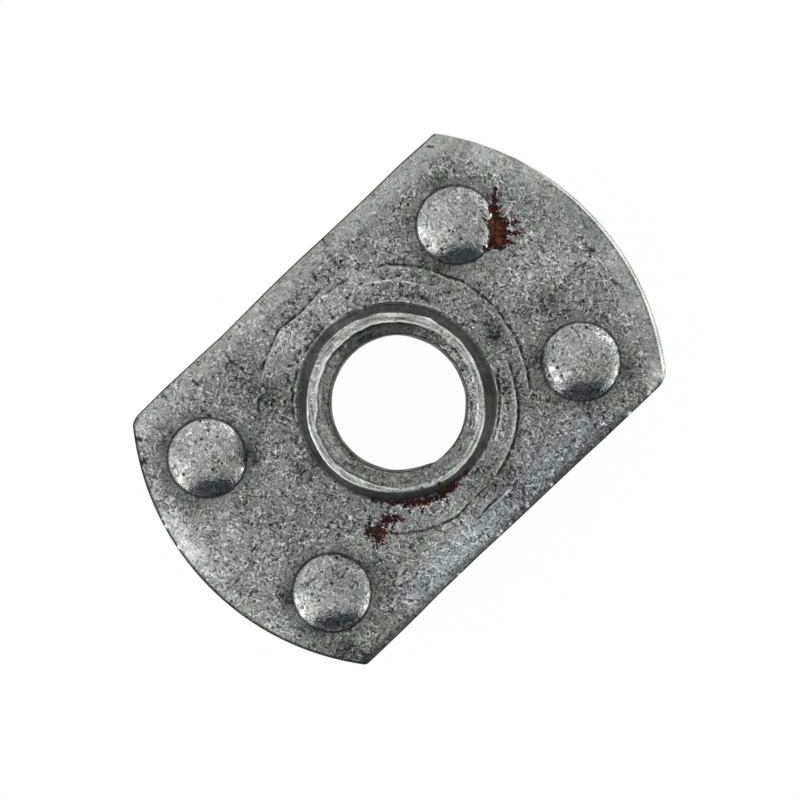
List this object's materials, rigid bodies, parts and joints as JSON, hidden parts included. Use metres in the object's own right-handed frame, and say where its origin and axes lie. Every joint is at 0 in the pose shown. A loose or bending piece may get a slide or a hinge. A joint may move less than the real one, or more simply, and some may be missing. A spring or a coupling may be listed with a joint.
{
  "type": "weld nut",
  "caption": "Projection weld nut: round flange with flat sides, domed welding projections and a pilot collar on one face, and a threaded barrel behind, for welding into a hole in sheet metal.",
  "frame": {"origin": "on the bore's axis, at the end face of the barrel", "axes": "+Z along the bore towards the welding projections, +X along the flange's long way, so that the flats face +Y and -Y"},
  "size_m": [0.02, 0.0127, 0.0068],
  "materials": {
    "dull_steel": "dull grey cold-headed steel, finely mottled, with bright worn edges and small rust spots"
  },
  "bodies": {
    "root": {"weld_nut": "dull_steel"}
  },
  "joints": []
}
